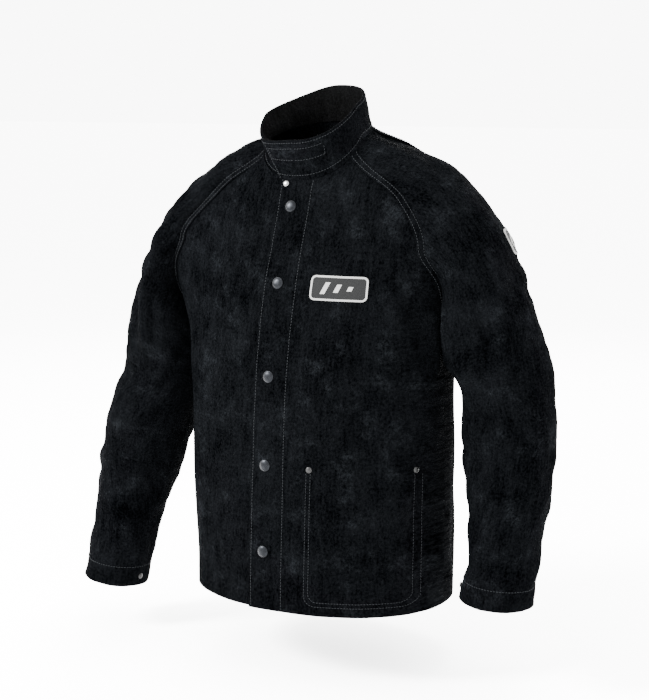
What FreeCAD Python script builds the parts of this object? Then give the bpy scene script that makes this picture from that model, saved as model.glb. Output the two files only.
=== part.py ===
import FreeCAD, Part

import math
import os

# A leather welding jacket, standing as if worn. Millimetres, +Z up, front towards -Y, the wearer's
# left towards +X. Heights below are measured up from the hem; every sub-part's Placement then lowers it
# by rest_height, so that the origin lies on the torso's axis where the wearer's shoulders hold it.

Vector = FreeCAD.Vector

# Torso girths. Each station is (height at the axis, rise per mm towards the back in front of the axis and
# behind it, half width on the wearer's right, half width on the left, depth in front of the axis, depth
# behind it, and where the front and back raglan seams cross it, in degrees round from the centre line).
STATION_FIELDS = (
    "height", "rise_front", "rise_back", "right", "left", "front", "back", "seam_front", "seam_back"
)
TORSO_STATIONS = {
    "hem": (12, 0, 0, 187, 214, 146, 160, 90, 90),
    "hip": (120, 0, 0, 191, 214, 143, 158, 90, 90),
    "waist": (250, 0, 0, 196, 214, 137, 154, 90, 90),
    "chest": (340, 0, 0, 201, 214, 129, 151, 90, 90),
    "armpit": (392, 0, 0, 206, 215, 121, 149, 90, 90),
    "arm": (480, 0.055, 0.02, 236, 232, 102, 138, 75, 75),
    "yoke": (550, 0.22, 0.05, 246, 246, 84, 126, 55, 60),
    "shoulder": (630, 0.63, 0.15, 185, 205, 64, 108, 54, 58),
    "clavicle": (668, 0.92, 0.2, 135, 145, 56, 94, 57, 64),
    "neck": (690, 1.135, 0.28, 78, 78, 52, 85, 76, 65),
    "rim": (737, 0.82, 0.38, 87, 68, 62, 74, 90, 90),
}
HEM, ARMPIT, NECK, RIM = (list(TORSO_STATIONS).index(n) for n in ("hem", "armpit", "neck", "rim"))

# The sleeve over the shoulder: its outermost point at each torso station, as (x away from the axis, y,
# height), and half its depth from front to back there.
CAP_FIELDS = ("crown_out", "crown_along", "crown_height", "depth")
CAP_STATIONS = {
    "left": {
        "armpit": (342, 5, 462, 78),
        "arm": (309, 5, 540, 77),
        "yoke": (270, 5, 600, 70),
        "shoulder": (217, 6, 644, 57),
        "clavicle": (154, 5, 675, 44),
    },
    "right": {
        "armpit": (310, 5, 455, 76),
        "arm": (279, 5, 524, 75),
        "yoke": (247, 4, 584, 68),
        "shoulder": (192, 6, 636, 56),
        "clavicle": (140, 5, 670, 44),
    },
}

# The sleeve below the armpit: (x away from the axis, y, height, radius) of each girth.
SLEEVE_FIELDS = ("out", "along", "height", "radius")
SLEEVE_STATIONS = {
    "left": {
        "elbow_high": (309, 9, 332, 65),
        "elbow": (310, 14, 290, 70),
        "elbow_low": (312, 10, 248, 67),
        "forearm": (315, 4, 195, 62),
        "wrist": (319, -14, 110, 50),
        "cuff_top": (316, -28, 66, 52),
        "cuff": (314, -34, 42, 54),
    },
    "right": {
        "elbow_high": (278, 4, 316, 64),
        "elbow": (291, -2, 272, 70),
        "elbow_low": (303, -8, 230, 69),
        "forearm": (315, -14, 175, 66),
        "wrist": (332, -34, 70, 53),
        "cuff_top": (339, -46, 12, 51),
        "cuff": (343, -52, -14, 50),
    },
}

OTHER_SIZES = {
    "rest_height": 690,        # height of the shoulder rest, the model's origin
    "hide": 2,                 # thickness of one layer of split leather
    "ply_gap": 0.05,           # air between two layers sewn together
    "lap_depth": 10,           # the left front lies this far outside the right front at the closure
    "flap_reach": 24,          # flap's free edge, past the centre line towards the wearer's right
    "facing_reach": 30,        # facing's sewn edge, on the other side of the snaps
    "facing_margin": 2,
    "facing_split": 512,       # the facing's chest part ends here, below it the rest swings with the front
    "side_gap": 1,
    "roll_front": 577,         # line that the left front rolls open on: at the flap, midway, at the side
    "roll_middle_out": 150,
    "roll_middle": 415,
    "roll_side": 250,
    "roll_gap": 3,
    "snap_top": 592,
    "snap_second": 484,
    "snap_third": 352,
    "snap_fourth": 224,
    "snap_bottom": 98,
    "snap_radius": 8.5,
    "snap_dome": 2.6,
    "post_radius": 2,
    "hole_clearance": 0.3,
    "seat_gap": 0.5,           # fasteners stand this clear of the hide, which curves under them
    "inner_gap": 0.9,          # the same on the inside
    "socket_radius": 6.5,
    "socket_depth": 2.4,
    "recess_radius": 3.4,
    "recess_depth": 1.9,
    "stud_radius": 2.6,
    "stud_length": 2.2,
    "flange_radius": 5.8,
    "flange_depth": 1.2,
    "rivet_radius": 4.6,
    "rivet_dome": 1.6,
    "burr_radius": 3.6,
    "burr_depth": 1,
    "neck_rivet_out": -14,
    "neck_rivet_height": 624,
    "pocket_inner": 66,        # pocket's edge nearer the front, its edge at the side, its bottom and mouth
    "pocket_outer": 198,
    "pocket_bottom": 30,
    "pocket_mouth": 216,
    "pocket_space": 14,
    "pocket_edge": 8,
    "pocket_rivet_rise": 8,
    "cuff_rivet_turn": 8,      # degrees from the inner side of the cuff towards the front
    "cuff_rivet_lift": 0.4,    # added to seat_gap, because the cuff curves more tightly than the fronts
    "collar_gap": 0.1,
    "collar_tilt": 14,         # the rim sinks this far at the wearer's right
    "tab_hinge": -16,          # the collar tab's fold, and the two ends of its slanted free edge
    "tab_gap": 0.4,
    "tab_lift": 1.2,
    "tab_base": -26,
    "tab_rim": -60,
    "collar_end": 14,
    "patch_depth": 0.6,
    "patch_inner": -22,
    "patch_outer": -38,
    "patch_low": 650,
    "patch_high": 671,
    "badge_depth": 0.8,
    "chest_badge_at": 96,
    "chest_badge_height": 481,
    "chest_badge_width": 84,
    "chest_badge_tall": 34,
    "sleeve_badge_at": 36,
    "sleeve_badge_height": 554,
    "sleeve_badge_width": 70,
    "sleeve_badge_tall": 34,
}

BOXINESS = 2.25          # 2 is an ellipse, more is squarer
THINNING = 0.8           # how far an inner layer sinks below an outer one on the shoulders, per mm of inset
COLUMNS = 9              # points across a panel
REACH, BEYOND = 300, 260 # further than the torso reaches forward and to either side
SIDES = {"left": 1, "right": -1}

document = FreeCAD.newDocument("leather_welding_jacket")
sheet = document.addObject("Spreadsheet::Sheet", "Sizes")


def fill_sheet():
    sizes = dict(OTHER_SIZES)
    for station, numbers in TORSO_STATIONS.items():
        sizes.update({f"{station}_{field}": n for field, n in zip(STATION_FIELDS, numbers)})
    for side in SIDES:
        for fields, stations in ((CAP_FIELDS, CAP_STATIONS[side]), (SLEEVE_FIELDS, SLEEVE_STATIONS[side])):
            for station, numbers in stations.items():
                sizes.update({f"{side}_{station}_{field}": n for field, n in zip(fields, numbers)})
    for row, (alias, number) in enumerate(sizes.items(), start=1):
        sheet.set(f"A{row}", alias)
        sheet.set(f"B{row}", str(number))
        sheet.setAlias(f"B{row}", alias)
    document.recompute()


def size(alias):
    return float(getattr(sheet, alias))


fill_sheet()
HIDE, PLY, LAP = size("hide"), size("ply_gap"), size("lap_depth")
STATION = [{field: size(f"{name}_{field}") for field in STATION_FIELDS} for name in TORSO_STATIONS]
parts = []


def keep(feature):
    """Makes a document object a sub-part: lowered to put the origin at the shoulder rest, then exported."""
    feature.Label = feature.Name
    feature.setExpression("Placement.Base.z", "-Sizes.rest_height")
    parts.append(feature)


def sub_part(name, shape):
    """A sub-part of hide, which no standard feature can make."""
    feature = document.addObject("Part::Feature", name)
    feature.Shape = shape
    keep(feature)


# Points on the jacket. A level counts the torso stations upwards: 4.5 is half way from the 4th to the 5th.
# A turn is in degrees round from the centre front, positive towards the wearer's left, to 180 at the back.


def mix(a, b, share):
    return a + (b - a) * share


def station_point(station, turn, inset, lap):
    s = STATION[station]
    across, forward = math.sin(math.radians(turn)), math.cos(math.radians(turn))
    width = (s["left"] if across > 0 else s["right"]) - inset
    depth = (s["front"] if forward > 0 else s["back"]) - inset
    x = math.copysign(abs(across) ** (2 / BOXINESS), across) * width
    bow = math.copysign(abs(forward) ** (2 / BOXINESS), forward)
    rise = s["rise_front"] if forward > 0 else s["rise_back"]
    sink = THINNING * inset if ARMPIT < station <= NECK else 0
    outside = lap if forward > 0 else 0
    return Vector(x, -bow * (depth + outside), s["height"] - sink - rise * bow * depth)


def torso_point(level, turn, inset=0.0, lap=0.0):
    low = min(int(level), len(STATION) - 2)
    below, above = (station_point(k, turn, inset, lap) for k in (low, low + 1))
    return below + (above - below) * (level - low)


def level_at(height, turn=0.0, lap=0.0):
    """The level where the torso passes a height."""
    low, high = 0.0, float(NECK)
    for _ in range(30):
        middle = (low + high) / 2
        if torso_point(middle, turn, 0, lap).z < height:
            low = middle
        else:
            high = middle
    return low


def turn_at(x, level):
    """The turn on the front where the torso is x from the axis."""
    low = min(int(level), len(STATION) - 2)
    key = "left" if x > 0 else "right"
    width = mix(STATION[low][key], STATION[low + 1][key], level - low)
    return math.copysign(math.degrees(math.asin((abs(x) / width) ** (BOXINESS / 2))), x)


def seam_turn(level, key):
    low = min(int(level), NECK - 1)
    return mix(STATION[low][key], STATION[low + 1][key], level - low)


# Layers of hide, skinned between rows of points


def skin(outer, inner, closed=False):
    """A solid layer between two stacks of rows. Each row runs the same way across; in a closed row, the last
    point is the first one."""

    def edge(points):
        if len(points) == 2:
            return Part.makeLine(points[0], points[1])
        curve = Part.BSplineCurve()
        curve.interpolate(points)
        return curve.toShape()

    def same(a, b):
        return a.distanceToPoint(b) < 1e-6

    faces = []
    for stack in (outer, inner):
        edges = [edge(row) for row in stack]
        faces += [Part.makeRuledSurface(a, b) for a, b in zip(edges, edges[1:])]
    for i in (0, -1):
        faces.append(Part.makeRuledSurface(edge(outer[i]), edge(inner[i])))
    for i in range(len(outer) - 1):
        shut = [same(row[0], row[-1]) for row in (outer[i], outer[i + 1])]
        if not all(shut):
            for end in (0, -1):
                rims = [Part.makeLine(outer[k][end], inner[k][end]) for k in (i, i + 1)]
                faces.append(Part.makeRuledSurface(rims[0], rims[1]))
    shell = Part.makeShell(faces)
    shell.sewShape()
    solid = Part.makeSolid(shell)
    if solid.Volume < 0:
        solid.reverse()
    return solid


def layered(row, depth_out, depth_in, steps):
    """A solid between two depths below the outer face. row(step, inset) gives one row of points."""
    return skin([row(s, depth_out) for s in steps], [row(s, depth_in) for s in steps])


def across(low, high, count=COLUMNS):
    return [mix(low, high, i / (count - 1)) for i in range(count)]


def window(low, high):
    """A block through the front of the jacket between two (x, height) corners."""
    corner = Vector(low[0], -REACH, low[1])
    return Part.makeBox(high[0] - low[0], REACH, high[1] - low[1], corner)


def front_frame(x, height, lap):
    """A point on a front and the direction straight out of the surface there."""
    level = level_at(height, turn_at(x, 5), lap)
    turn = turn_at(x, level)
    point = torso_point(level, turn, 0, lap)
    right = torso_point(level, turn + 1, 0, lap) - torso_point(level, turn - 1, 0, lap)
    up = torso_point(level + 0.05, turn, 0, lap) - torso_point(level - 0.05, turn, 0, lap)
    outward = right.cross(up)
    outward.normalize()
    return point, outward


def stud_frame(x, height):
    """Where the axis of a left front frame meets the right front."""
    point, outward = front_frame(x, height, LAP)
    level = level_at(height, turn_at(x, 5), LAP)
    turn = turn_at(x, level)
    apart = torso_point(level, turn, 0, LAP) - torso_point(level, turn)
    return point - outward * apart.dot(outward), outward


def punched(shape, frames):
    radius = size("post_radius") + size("hole_clearance")
    return shape.cut([Part.makeCylinder(radius, 16, point - out * 8, out) for point, out in frames])


# Fastener pieces, each made of primitives whose sizes are bound to the sheet


def primitive(kind, name, frame, depth=0.0, **bound):
    """A primitive that stands on a surface at a frame, or starts some way below it."""
    piece = document.addObject(kind, name)
    point, outward = frame
    gap = size("seat_gap") if depth <= 0 else -size("inner_gap")
    base = point + outward * (gap - depth)
    piece.Placement = FreeCAD.Placement(base, FreeCAD.Rotation(Vector(0, 0, 1), outward))
    for prop, formula in bound.items():
        piece.setExpression(prop, f"Sizes.{formula}")
    return piece


def joined(kind, name, members):
    whole = document.addObject(kind, name)
    setattr(whole, "Links" if kind == "Part::Compound" else "Shapes", members)
    return whole


def domed_head(name, frame, family, grip):
    """A domed head on the surface, with its post through the layers below."""
    radius, rise = f"{family}_radius", f"{family}_dome"
    head = primitive("Part::Ellipsoid", f"{name}_head", frame, Radius1=rise, Radius2=radius)
    head.Angle1, head.Angle2 = 0, 90
    post = primitive("Part::Cylinder", f"{name}_post", frame, grip, Radius="post_radius")
    post.Height = grip + size("seat_gap") + size("inner_gap")
    return joined("Part::MultiFuse", name, [head, post])


def socket(name, frame, depth):
    top = depth + size("socket_depth")
    hollow = document.addObject("Part::Cut", name)
    hollow.Base, hollow.Tool = (
        primitive("Part::Cylinder", f"{name}_{kind}", frame, top, Radius=f"{word}_radius", Height=f"{word}_depth")
        for kind, word in (("body", "socket"), ("hole", "recess"))
    )
    return hollow


def stud(name, frame):
    flange, pin = (
        primitive("Part::Cylinder", f"{name}_{word}", frame, Radius=f"{word}_radius") for word in ("flange", "stud")
    )
    flange.setExpression("Height", "Sizes.flange_depth")
    pin.setExpression("Height", "Sizes.flange_depth + Sizes.stud_length")
    return joined("Part::MultiFuse", name, [flange, pin])


def plate(name, frame, grip, radius):
    """The plate that a post is set in, on the inside of the layers."""
    depth = grip + size("burr_depth")
    return primitive("Part::Cylinder", name, frame, depth, Radius=radius, Height="burr_depth")


# Where the fasteners go

heights = [size(f"snap_{name}") for name in ("top", "second", "third", "fourth", "bottom")]
snap_frames = [front_frame(0, z, LAP) for z in heights]
stud_frames = [stud_frame(0, z) for z in heights]
neck_frame = front_frame(size("neck_rivet_out"), size("neck_rivet_height"), LAP)
rivet_height = size("pocket_mouth") + size("pocket_rivet_rise")
rivet_inset = size("pocket_edge") / 2
rivet_xs = (size("pocket_inner") + rivet_inset, size("pocket_outer") - rivet_inset)
pocket_frames = [front_frame(x, rivet_height, LAP) for x in rivet_xs]

# Left front: below the roll line it swings open, above it the chest stays on the shoulders.

FLAP = -size("flap_reach")
side_turn = 90 - math.degrees(math.asin((size("side_gap") / STATION[HEM]["front"]) ** (BOXINESS / 2)))
levels = list(range(NECK + 1))


def left_row(level, inset):
    last = min(seam_turn(level, "seam_front"), side_turn)
    return [torso_point(level, t, inset, LAP) for t in across(turn_at(FLAP, level), last)]


def roll_block(drop, top):
    """A block through the front, from its floor or ceiling to the roll line or a little below it."""
    bend = [
        Vector(2 * FLAP, -REACH, size("roll_front") - drop),
        Vector(size("roll_middle_out"), -REACH, size("roll_middle") - drop),
        Vector(BEYOND, -REACH, size("roll_side") - drop),
    ]
    corners = [bend[2], Vector(BEYOND, -REACH, top), Vector(2 * FLAP, -REACH, top), bend[0]]
    wire = Part.Wire([Part.Arc(*bend).toShape(), Part.makePolygon(corners)])
    return Part.Face(wire).extrude(Vector(0, REACH, 0))


left_front = layered(left_row, 0, HIDE, levels)
swinging = left_front.common(roll_block(size("roll_gap"), -BEYOND))
chest = left_front.common(roll_block(0, 3 * BEYOND))
sub_part("left_front_panel", punched(swinging, snap_frames[1:] + pocket_frames))
sub_part("left_chest_panel", punched(chest, snap_frames[:1] + [neck_frame]))

facing_x = (FLAP + size("facing_margin"), size("facing_reach"))
facing_foot = STATION[HEM]["height"] + size("facing_margin")
facing_split = size("facing_split")
facing_top = facing_split - 2 * size("roll_gap")
two_deep = (HIDE + PLY, 2 * HIDE + PLY)
left_facing = layered(left_row, *two_deep, levels)
lower = left_facing.common(window((facing_x[0], facing_foot), (facing_x[1], facing_top)))
upper = left_facing.common(window((facing_x[0], facing_split), (facing_x[1], 3 * BEYOND)))
sub_part("left_front_facing", punched(lower, snap_frames[1:]))
sub_part("left_chest_facing", punched(upper, snap_frames[:1] + [neck_frame]))

# Right front, which lies under the flap, and the back


def right_row(level, inset):
    first = turn_at(size("flap_reach"), level)
    return [torso_point(level, t, inset) for t in across(first, -seam_turn(level, "seam_front"))]


def back_row(level, inset):
    edge = 180 - seam_turn(level, "seam_back")
    return [torso_point(level, t, inset) for t in across(edge, 360 - edge, 2 * COLUMNS - 1)]


sub_part("right_front_panel", punched(layered(right_row, 0, HIDE, levels), stud_frames))
right_facing = layered(right_row, *two_deep, levels)
right_facing = right_facing.common(window((-facing_x[1], facing_foot), (-facing_x[0], 3 * BEYOND)))
sub_part("right_front_facing", punched(right_facing, stud_frames))
sub_part("back_panel", layered(back_row, 0, HIDE, levels))

# Sleeves: the cap and upper arm, the band that bends at the elbow, the forearm and its turned cuff


def girth(front, back, crown, depth):
    """A row round the sleeve, from the front seam over the crown to the back seam: an arc of an ellipse that
    closes up where the two seams meet under the arm."""
    middle = (front + back) * 0.5
    half_chord = (back - front).Length / 2
    outward = crown - middle
    reach = outward.Length
    outward.normalize()
    backward = Vector(0, 1, 0) - outward * outward.y
    backward.normalize()
    swing = math.pi - math.asin(min(half_chord / depth, 1))
    radius = reach / (1 - math.cos(swing))
    centre = crown - outward * radius
    points = []
    for i in range(2 * COLUMNS - 1):
        angle = mix(-swing, swing, i / (2 * COLUMNS - 2))
        points.append(centre + outward * (radius * math.cos(angle)) + backward * (depth * math.sin(angle)))
    shifts = (front - points[0], back - points[-1])
    last = len(points) - 1
    return [p + shifts[0] * (1 - i / last) ** 3 + shifts[1] * (i / last) ** 3 for i, p in enumerate(points)]


def neck_row(side, inset):
    """The sleeve's top edge, which is part of the neck seam."""
    sign = SIDES[side]
    lap = LAP if side == "left" else 0
    first, last = seam_turn(NECK, "seam_front"), 180 - seam_turn(NECK, "seam_back")
    return [torso_point(NECK, sign * t, inset, lap) for t in across(first, last, 2 * COLUMNS - 1)]


def cap_row(side, station, inset):
    sign, level = SIDES[side], list(TORSO_STATIONS).index(station)
    lap = LAP if side == "left" else 0
    front_turn, back_turn = (seam_turn(level, key) for key in ("seam_front", "seam_back"))
    front = torso_point(level, sign * front_turn, inset, lap)
    back = torso_point(level, sign * (180 - back_turn), inset, 0)
    out, along, height, depth = (size(f"{side}_{station}_{field}") for field in CAP_FIELDS)
    crown = Vector(sign * out, along, height)
    inward = (front + back) * 0.5 - crown
    inward.normalize()
    return girth(front, back, crown + inward * inset, depth - inset)


def tube_frame(side, station):
    """The centre of a girth below the armpit, its outward direction and its radius."""
    names = list(SLEEVE_STATIONS[side])
    k = names.index(station)
    centres = []
    for name in (names[max(k - 1, 0)], station, names[min(k + 1, len(names) - 1)]):
        out, along, height = (size(f"{side}_{name}_{field}") for field in SLEEVE_FIELDS[:3])
        centres.append(Vector(SIDES[side] * out, along, height))
    outward = Vector(0, -SIDES[side], 0).cross(centres[2] - centres[0])
    outward.normalize()
    return centres[1], outward, size(f"{side}_{station}_radius")


def tube_row(side, station, inset):
    centre, outward, radius = tube_frame(side, station)
    under = centre - outward * (radius - inset)
    return girth(under, under, centre + outward * (radius - inset), radius - inset)


def sleeve_row(side, station, inset):
    if station == "neck":
        return neck_row(side, inset)
    return (cap_row if station in CAP_STATIONS[side] else tube_row)(side, station, inset)


cuff_frames = {}
for side in SIDES:

    def row(station, inset):
        return sleeve_row(side, station, inset)

    upper_arm = list(SLEEVE_STATIONS[side])[:1] + list(CAP_STATIONS[side]) + ["neck"]
    elbow, forearm = list(SLEEVE_STATIONS[side])[:3], list(SLEEVE_STATIONS[side])[2:]
    high, low = tube_frame(side, forearm[-2]), tube_frame(side, forearm[-1])
    turn = math.radians(size("cuff_rivet_turn"))
    outward = high[1] * -math.cos(turn) + Vector(0, -math.sin(turn), 0)
    middle = (high[0] + low[0]) * 0.5
    rivet_out = (high[2] + low[2]) / 2 + size("cuff_rivet_lift")
    cuff_frames[side] = (middle + outward * rivet_out, outward)
    sub_part(f"{side}_sleeve", layered(row, 0, HIDE, upper_arm))
    sub_part(f"{side}_elbow", layered(row, 0, HIDE, elbow))
    sub_part(f"{side}_forearm", punched(layered(row, 0, HIDE, forearm), [cuff_frames[side]]))
    sub_part(f"{side}_cuff_facing", punched(layered(row, *two_deep, forearm[-2:]), [cuff_frames[side]]))

# Collar: one strip from the tab's fold on the wearer's left, round the back, to the end under the tab


def collar_point(share, turn, inset, lap):
    point = torso_point(mix(NECK, RIM, share), turn, inset, lap)
    aside = min(max(-point.x / STATION[RIM]["right"], 0), 1)
    sunk = size("collar_tilt") * share * aside ** 2 * (3 - 2 * aside)
    point.z += size("collar_gap") + THINNING * inset * (1 - share) - sunk
    return point


def collar_x(share, x, inset, lap):
    return collar_point(share, turn_at(x, mix(NECK, RIM, share)), inset, lap)


def stand_row(share, inset):
    level = mix(NECK, RIM, share)
    first, last = turn_at(size("tab_hinge"), level), turn_at(size("collar_end"), level) + 360
    turns = across(first, last, 4 * COLUMNS)
    return [collar_point(share, t, inset, LAP if t < 180 else 0) for t in turns]


def tab_row(share, inset):
    xs = across(size("tab_hinge") - size("tab_gap"), mix(size("tab_base"), size("tab_rim"), share))
    return [collar_x(share, x, inset, LAP) for x in xs]


tab_steps = [size("tab_lift") / (size("rim_height") - size("neck_height")), 1]
for name, depths in (("collar_{}", (0, HIDE)), ("collar_{}_lining", two_deep)):
    sub_part(name.format("stand"), layered(stand_row, *depths, [0, 1]))
    sub_part(name.format("tab"), layered(tab_row, *depths, tab_steps))
patch_corners = ((size("patch_outer"), size("patch_low")), (size("patch_inner"), size("patch_high")))
patch_window, hook_depth = window(*patch_corners), 2 * (HIDE + PLY)
hooks = layered(tab_row, hook_depth, hook_depth + size("patch_depth"), tab_steps)
loops = layered(stand_row, -PLY - size("patch_depth"), -PLY, [0, 1])
sub_part("collar_hook_patch", hooks.common(patch_window))
sub_part("collar_loop_patch", loops.common(patch_window))

# Inside pocket: a flat bag sewn to the left front along its sides and bottom, open at the top

bag_low = (size("pocket_inner"), size("pocket_bottom"))
bag_high = (size("pocket_outer"), size("pocket_mouth"))
rim_width, bag_depth = size("pocket_edge"), HIDE + PLY + size("pocket_space")
bag = layered(left_row, HIDE + PLY, bag_depth + HIDE, levels[:4]).common(window(bag_low, bag_high))
space_low = (bag_low[0] + rim_width, bag_low[1] + rim_width)
space_high = (bag_high[0] - rim_width, bag_high[1] + rim_width)
space = layered(left_row, PLY, bag_depth, levels[:4]).common(window(space_low, space_high))
sub_part("inside_pocket", bag.cut(space))

# Snaps and rivets

grip = 2 * (HIDE + PLY)
caps, sockets, studs, plates = [], [], [], []
for i, (left_frame, right_frame) in enumerate(zip(snap_frames, stud_frames), start=1):
    caps.append(domed_head(f"snap_cap_{i}", left_frame, "snap", grip))
    sockets.append(socket(f"snap_socket_{i}", left_frame, grip))
    studs.append(stud(f"snap_stud_{i}", right_frame))
    plates.append(plate(f"snap_plate_{i}", right_frame, grip, "socket_radius"))
for name, members in (("snap_cap", caps), ("snap_socket", sockets)):
    keep(joined("Part::Compound", f"top_{name}", members[:1]))
    keep(joined("Part::Compound", f"{name}s", members[1:]))
keep(joined("Part::Compound", "snap_studs", studs))
keep(joined("Part::Compound", "snap_back_plates", plates))
keep(domed_head("neck_rivet", neck_frame, "rivet", grip))
keep(plate("neck_rivet_burr", neck_frame, grip, "burr_radius"))
pocket_heads, pocket_burrs = [], []
for i, frame in enumerate(pocket_frames, start=1):
    pocket_heads.append(domed_head(f"pocket_rivet_{i}", frame, "rivet", HIDE))
    pocket_burrs.append(plate(f"pocket_burr_{i}", frame, HIDE, "burr_radius"))
keep(joined("Part::Compound", "pocket_rivets", pocket_heads))
keep(joined("Part::Compound", "pocket_rivet_burrs", pocket_burrs))
for side, frame in cuff_frames.items():
    keep(domed_head(f"{side}_cuff_rivet", frame, "rivet", grip))

# Badges: plain stitched patches on the chest and on the left upper sleeve

thick = size("badge_depth") + PLY


def badge_corners(name):
    at, height, width, tall = (size(f"{name}_{field}") for field in ("at", "height", "width", "tall"))
    return (at - width / 2, height - tall / 2), (at + width / 2, height + tall / 2)


def left_cap_row(station, inset):
    return cap_row("left", station, inset)


chest_corners, sleeve_corners = badge_corners("chest_badge"), badge_corners("sleeve_badge")
sub_part("chest_badge", layered(left_row, -thick, -PLY, levels).common(window(*chest_corners)))
(near, foot), (far, head) = sleeve_corners
beside = Part.makeBox(REACH, far - near, head - foot, Vector(BEYOND, near, foot))
sub_part("sleeve_badge", layered(left_cap_row, -thick, -PLY, ["arm", "yoke"]).common(beside))

document.recompute()


def problems():
    wrong = [f"{o.Name}: {o.State}" for o in document.Objects if "Invalid" in o.State or "Error" in o.State]
    for feature in parts:
        if feature.Shape.isNull() or not feature.Shape.isValid() or not feature.Shape.Solids:
            wrong.append(f"{feature.Name}: empty or not valid")
    return wrong


if problems():
    raise RuntimeError("; ".join(problems()))
os.makedirs("parts", exist_ok=True)
for feature in parts:
    feature.Shape.exportStep(f"parts/{feature.Name}.step")
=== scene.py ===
import math

import bmesh
import bpy
import numpy as np
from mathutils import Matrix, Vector, noise


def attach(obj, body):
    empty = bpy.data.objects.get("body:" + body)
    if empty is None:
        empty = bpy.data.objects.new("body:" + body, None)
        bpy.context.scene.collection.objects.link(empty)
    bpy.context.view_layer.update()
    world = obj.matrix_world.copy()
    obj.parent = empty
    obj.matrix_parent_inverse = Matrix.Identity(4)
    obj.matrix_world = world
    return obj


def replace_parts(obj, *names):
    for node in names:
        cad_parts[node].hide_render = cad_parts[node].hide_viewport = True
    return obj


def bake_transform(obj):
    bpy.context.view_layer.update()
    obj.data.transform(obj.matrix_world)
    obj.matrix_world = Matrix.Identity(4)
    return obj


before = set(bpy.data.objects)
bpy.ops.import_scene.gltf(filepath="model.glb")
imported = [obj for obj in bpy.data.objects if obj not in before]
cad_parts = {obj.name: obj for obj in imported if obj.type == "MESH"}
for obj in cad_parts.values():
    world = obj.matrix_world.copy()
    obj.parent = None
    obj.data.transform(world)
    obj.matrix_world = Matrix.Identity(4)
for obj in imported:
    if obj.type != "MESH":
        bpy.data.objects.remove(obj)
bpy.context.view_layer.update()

# The jacket is worked out in millimetres with heights measured up from the hem, then lowered to the frame,
# whose origin is the shoulder rest.
REST_HEIGHT = 690
HIDE = 2.0       # one layer of split leather
LAP = 10.0       # the left front lies this far outside the right one's CAD surface
BOXINESS = 2.25

# Torso girths: height at the axis, rise per mm towards the back in front of and behind the axis, half
# widths right and left, depths front and back, degrees round to the front and back raglan seams.
TORSO = np.array([
    (12, 0, 0, 187, 214, 146, 160, 90, 90),
    (120, 0, 0, 191, 214, 143, 158, 90, 90),
    (250, 0, 0, 196, 214, 137, 154, 90, 90),
    (340, 0, 0, 201, 214, 129, 151, 90, 90),
    (392, 0, 0, 206, 215, 121, 149, 90, 90),
    (480, 0.055, 0.02, 236, 232, 102, 138, 75, 75),
    (550, 0.22, 0.05, 246, 246, 84, 126, 55, 60),
    (630, 0.63, 0.15, 185, 205, 64, 108, 54, 58),
    (668, 0.92, 0.2, 135, 145, 56, 94, 57, 64),
    (690, 1.135, 0.28, 78, 78, 52, 85, 76, 65),
    (737, 0.82, 0.38, 87, 68, 62, 74, 90, 90),
], dtype=float)
HEM, ARMPIT, NECK, RIM = 12.0, 392.0, 690.0, 737.0

# The sleeve over the shoulder: torso height, then its crown (out from the axis, y, height) and half depth.
CAPS = {
    1: np.array([
        (392, 342, 5, 462, 78), (480, 309, 5, 540, 77), (550, 270, 5, 600, 70),
        (630, 217, 6, 644, 57), (668, 154, 5, 675, 44), (690, 79, 8, 694, 32),
    ], dtype=float),
    -1: np.array([
        (392, 310, 5, 455, 76), (480, 279, 5, 524, 75), (550, 247, 4, 584, 68),
        (630, 192, 6, 636, 56), (668, 140, 5, 670, 44), (690, 79, 8, 694, 32),
    ], dtype=float),
}
# The sleeve below the armpit, from the cuff up: out from the axis, y, height, radius.
TUBES = {
    1: np.array([
        (314, -34, 42, 54), (316, -28, 66, 52), (319, -14, 110, 50), (315, 4, 195, 62),
        (312, 10, 248, 67), (310, 14, 290, 70), (309, 9, 332, 65),
    ], dtype=float),
    -1: np.array([
        (343, -52, -14, 50), (339, -46, 12, 51), (332, -34, 70, 53), (315, -14, 175, 66),
        (303, -8, 230, 69), (291, -2, 272, 70), (278, 4, 316, 64),
    ], dtype=float),
}


def metres(points):
    p = np.asarray(points, dtype=float)
    return (p - np.array([0, 0, REST_HEIGHT])) / 1000


def smooth(a, b, x):
    t = np.clip((x - a) / (b - a), 0, 1)
    return t * t * (3 - 2 * t)


def pchip(xs, ys, x):
    """Curves through the rows of ys at xs that never overshoot them."""
    xs, ys, x = (np.asarray(v, dtype=float) for v in (xs, ys, x))
    gap = np.diff(xs).reshape((-1,) + (1,) * (ys.ndim - 1))
    rate = np.diff(ys, axis=0) / gap
    slope = np.zeros_like(ys)
    before, after = 2 * gap[1:] + gap[:-1], gap[1:] + 2 * gap[:-1]
    same = rate[:-1] * rate[1:] > 0
    low, high = np.where(same, rate[:-1], 1), np.where(same, rate[1:], 1)
    slope[1:-1] = np.where(same, (before + after) / (before / low + after / high), 0)
    slope[0], slope[-1] = rate[0], rate[-1]
    k = np.clip(np.searchsorted(xs, x, side="right") - 1, 0, len(xs) - 2)
    tail = (1,) * (ys.ndim - 1)
    t = ((x - xs[k]) / (xs[k + 1] - xs[k])).reshape(x.shape + tail)
    d = (xs[k + 1] - xs[k]).reshape(x.shape + tail)
    return (
        ys[k] * (1 + 2 * t) * (1 - t) ** 2 + slope[k] * d * t * (1 - t) ** 2
        + ys[k + 1] * t * t * (3 - 2 * t) - slope[k + 1] * d * t * t * (1 - t)
    )


def unit(v):
    return v / np.maximum(np.linalg.norm(v, axis=-1, keepdims=True), 1e-9)


# Folds. Each one is a line of (x, y, height) points with a width and a rise: a rounded ridge, or a groove
# where its rise is negative, that dies out at both ends. All of them are deepened and narrowed alike.


FOLD_DEPTH, FOLD_WIDTH = 1.45, 0.85


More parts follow.
